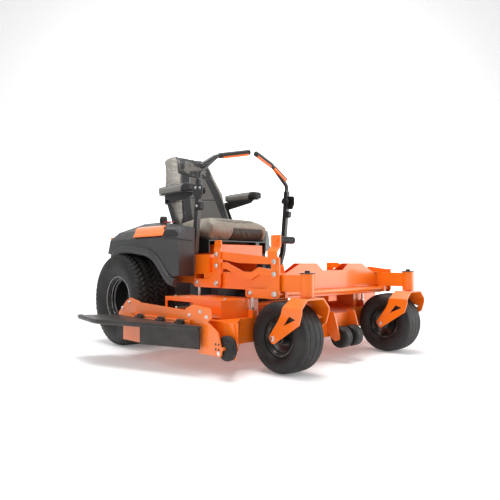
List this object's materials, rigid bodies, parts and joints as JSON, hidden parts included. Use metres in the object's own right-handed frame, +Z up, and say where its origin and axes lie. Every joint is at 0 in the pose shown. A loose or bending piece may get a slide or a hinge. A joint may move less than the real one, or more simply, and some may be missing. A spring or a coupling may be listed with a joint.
{
  "type": "zero turn riding mower",
  "caption": "Zero-turn riding mower with side-discharge deck, swivelling front casters, lap-bar steering, sprung seat and foot deck lift.",
  "frame": {"origin": "on the ground at the middle of the machine's footprint", "axes": "+X forward, +Y to the operator's left, +Z up"},
  "size_m": [2.071, 1.74, 1.256],
  "materials": {
    "tyre_rubber": "matt black rubber",
    "black_steel": "satin black powder coat",
    "orange_steel": "glossy orange powder coat",
    "zinc_steel": "zinc plated and ground steel",
    "grey_plastic": "dark grey grained moulding",
    "black_plastic": "black moulding",
    "cast_metal": "die cast aluminium",
    "seat_vinyl": "warm grey vinyl",
    "chute_rubber": "dark grey flexible rubber"
  },
  "bodies": {
    "chassis": {"front_rails": "orange_steel", "caster_housings": "orange_steel", "caster_caps": "black_steel", "engine_frame": "orange_steel", "floor_pan": "orange_steel", "rear_guard": "orange_steel", "seat_base": "orange_steel", "fender_right": "grey_plastic", "fender_left": "grey_plastic", "engine_block": "cast_metal", "engine_shroud": "grey_plastic", "air_filter": "grey_plastic", "muffler": "black_steel", "hydro_units": "cast_metal"},
    "fuel_cap_body": {"fuel_cap": "black_plastic"},
    "seat": {"seat_frame": "black_steel", "seat_cushion": "seat_vinyl", "seat_back": "seat_vinyl"},
    "deck": {"deck_shell": "orange_steel", "belt_covers": "orange_steel", "spindle_housings": "cast_metal", "hanger_rods": "zinc_steel"},
    "chute": {"chute_deflector": "chute_rubber"},
    "lift_front": {"lift_crank_front": "orange_steel"},
    "lift_rear": {"lift_crank_rear": "orange_steel"},
    "lift_link": {"lift_links": "orange_steel"},
    "lift_bar": {"lift_rod": "orange_steel"},
    "crank_pulley": {"engine_pulley": "zinc_steel"},
    "rollers": {"front_rollers": "tyre_rubber"},
    "rear_wheel_right": {"rear_tyre_right": "tyre_rubber", "rear_rim_right": "black_steel", "rear_axle_right": "zinc_steel"},
    "caster_right": {"caster_fork_right": "orange_steel"},
    "caster_wheel_right": {"caster_tyre_right": "tyre_rubber", "caster_hub_right": "black_steel"},
    "lever_right": {"control_lever_right": "black_steel"},
    "bar_right": {"lap_bar_right": "black_steel", "lap_grip_right": "black_plastic"},
    "armrest_right": {"arm_bracket_right": "black_steel", "arm_pad_right": "seat_vinyl"},
    "scalp_wheel_right": {"anti_scalp_wheel_right": "tyre_rubber"},
    "rear_wheel_left": {"rear_tyre_left": "tyre_rubber", "rear_rim_left": "black_steel", "rear_axle_left": "zinc_steel"},
    "caster_left": {"caster_fork_left": "orange_steel"},
    "caster_wheel_left": {"caster_tyre_left": "tyre_rubber", "caster_hub_left": "black_steel"},
    "lever_left": {"control_lever_left": "black_steel"},
    "bar_left": {"lap_bar_left": "black_steel", "lap_grip_left": "black_plastic"},
    "armrest_left": {"arm_bracket_left": "black_steel", "arm_pad_left": "seat_vinyl"},
    "scalp_wheel_left": {"anti_scalp_wheel_left": "tyre_rubber"},
    "cutter_right": {"spindle_right": "zinc_steel", "blade_right": "zinc_steel"},
    "cutter_centre": {"spindle_centre": "zinc_steel", "blade_centre": "zinc_steel"},
    "cutter_left": {"spindle_left": "zinc_steel", "blade_left": "zinc_steel"}
  },
  "joints": [
    {"name": "rear_wheel_right_spin", "type": "hinge", "parent": "chassis", "child": "rear_wheel_right", "pos_m": [-0.34805, -0.387, 0.2794], "axis": [0, 1, 0], "continuous": true},
    {"name": "caster_right_swivel", "type": "hinge", "parent": "chassis", "child": "caster_right", "pos_m": [0.98895, -0.317, 0.4], "axis": [0, 0, 1], "continuous": true},
    {"name": "caster_right_spin", "type": "hinge", "parent": "caster_right", "child": "caster_wheel_right", "pos_m": [0.86995, -0.317, 0.1651], "axis": [0, 1, 0], "continuous": true},
    {"name": "lever_right_drive", "type": "hinge", "parent": "chassis", "child": "lever_right", "pos_m": [0.05695, -0.256, 0.497], "axis": [0, 1, 0], "range_deg": [-15, 18]},
    {"name": "lap_bar_right_swing", "type": "hinge", "parent": "lever_right", "child": "bar_right", "pos_m": [0.13195, -0.256, 0.968], "axis": [1, 0, 0], "range_deg": [0, 50]},
    {"name": "armrest_right_fold", "type": "hinge", "parent": "seat", "child": "armrest_right", "pos_m": [-0.34805, -0.144, 0.905], "axis": [0, -1, 0], "range_deg": [0, 80]},
    {"name": "anti_scalp_right_spin", "type": "hinge", "parent": "deck", "child": "scalp_wheel_right", "pos_m": [0.78895, -0.609, 0.134], "axis": [0, 1, 0], "continuous": true},
    {"name": "rear_wheel_left_spin", "type": "hinge", "parent": "chassis", "child": "rear_wheel_left", "pos_m": [-0.34805, 0.617, 0.2794], "axis": [0, 1, 0], "continuous": true},
    {"name": "caster_left_swivel", "type": "hinge", "parent": "chassis", "child": "caster_left", "pos_m": [0.98895, 0.547, 0.4], "axis": [0, 0, 1], "continuous": true},
    {"name": "caster_left_spin", "type": "hinge", "parent": "caster_left", "child": "caster_wheel_left", "pos_m": [0.86995, 0.547, 0.1651], "axis": [0, 1, 0], "continuous": true},
    {"name": "lever_left_drive", "type": "hinge", "parent": "chassis", "child": "lever_left", "pos_m": [0.05695, 0.486, 0.497], "axis": [0, 1, 0], "range_deg": [-15, 18]},
    {"name": "lap_bar_left_swing", "type": "hinge", "parent": "lever_left", "child": "bar_left", "pos_m": [0.13195, 0.486, 0.968], "axis": [-1, 0, 0], "range_deg": [0, 50]},
    {"name": "armrest_left_fold", "type": "hinge", "parent": "seat", "child": "armrest_left", "pos_m": [-0.34805, 0.374, 0.905], "axis": [0, -1, 0], "range_deg": [0, 80]},
    {"name": "anti_scalp_left_spin", "type": "hinge", "parent": "deck", "child": "scalp_wheel_left", "pos_m": [0.78895, 0.839, 0.134], "axis": [0, 1, 0], "continuous": true},
    {"name": "cutter_right_spin", "type": "hinge", "parent": "deck", "child": "cutter_right", "pos_m": [0.34195, -0.365, 0.25], "axis": [0, 0, 1], "continuous": true},
    {"name": "cutter_centre_spin", "type": "hinge", "parent": "deck", "child": "cutter_centre", "pos_m": [0.54195, 0.115, 0.25], "axis": [0, 0, 1], "continuous": true},
    {"name": "cutter_left_spin", "type": "hinge", "parent": "deck", "child": "cutter_left", "pos_m": [0.34195, 0.595, 0.25], "axis": [0, 0, 1], "continuous": true},
    {"name": "front_rollers_spin", "type": "hinge", "parent": "deck", "child": "rollers", "pos_m": [0.88645, 0.115, 0.127], "axis": [0, 1, 0], "continuous": true},
    {"name": "engine_pulley_spin", "type": "hinge", "parent": "chassis", "child": "crank_pulley", "pos_m": [-0.67805, 0.115, 0.3], "axis": [0, 0, 1], "continuous": true},
    {"name": "fuel_cap_turn", "type": "hinge", "parent": "chassis", "child": "fuel_cap_body", "pos_m": [-0.14005, -0.315, 0.76], "axis": [0, 0, 1], "range_deg": [0, 120]},
    {"name": "seat_slide", "type": "slide", "parent": "chassis", "child": "seat", "axis": [1, 0, 0], "range_m": [-0.05, 0.06]},
    {"name": "deck_lift", "type": "slide", "parent": "chassis", "child": "deck", "axis": [0, 0, 1], "range_m": [-0.06, 0]},
    {"name": "lift_front_turn", "type": "hinge", "parent": "chassis", "child": "lift_front", "pos_m": [0.83195, 0.115, 0.356], "axis": [0, 1, 0], "range_deg": [-20.9, 0]},
    {"name": "lift_rear_turn", "type": "hinge", "parent": "chassis", "child": "lift_rear", "pos_m": [0.41895, 0.115, 0.394], "axis": [0, 1, 0], "range_deg": [-20.9, 0]},
    {"name": "lift_link_level", "type": "hinge", "parent": "lift_front", "child": "lift_link", "pos_m": [0.83195, 0.115, 0.448], "axis": [0, 1, 0], "range_deg": [0, 20.9]},
    {"name": "lift_bar_level", "type": "hinge", "parent": "lift_front", "child": "lift_bar", "pos_m": [0.83195, -0.347, 0.506], "axis": [0, 1, 0], "range_deg": [0, 20.9]},
    {"name": "chute_lift", "type": "hinge", "parent": "deck", "child": "chute", "pos_m": [0.33195, -0.644, 0.232], "axis": [-1, 0, 0], "range_deg": [0, 75]}
  ],
  "couplings": [
    {"joint": "lift_front_turn", "follows": "deck_lift", "rad_per_m": 6.0606},
    {"joint": "lift_rear_turn", "follows": "deck_lift", "rad_per_m": 6.0606},
    {"joint": "lift_link_level", "follows": "deck_lift", "rad_per_m": -6.0606},
    {"joint": "lift_bar_level", "follows": "deck_lift", "rad_per_m": -6.0606},
    {"joint": "cutter_right_spin", "follows": "cutter_centre_spin", "ratio": 1},
    {"joint": "cutter_left_spin", "follows": "cutter_centre_spin", "ratio": 1},
    {"joint": "engine_pulley_spin", "follows": "cutter_centre_spin", "ratio": 0.96667}
  ]
}
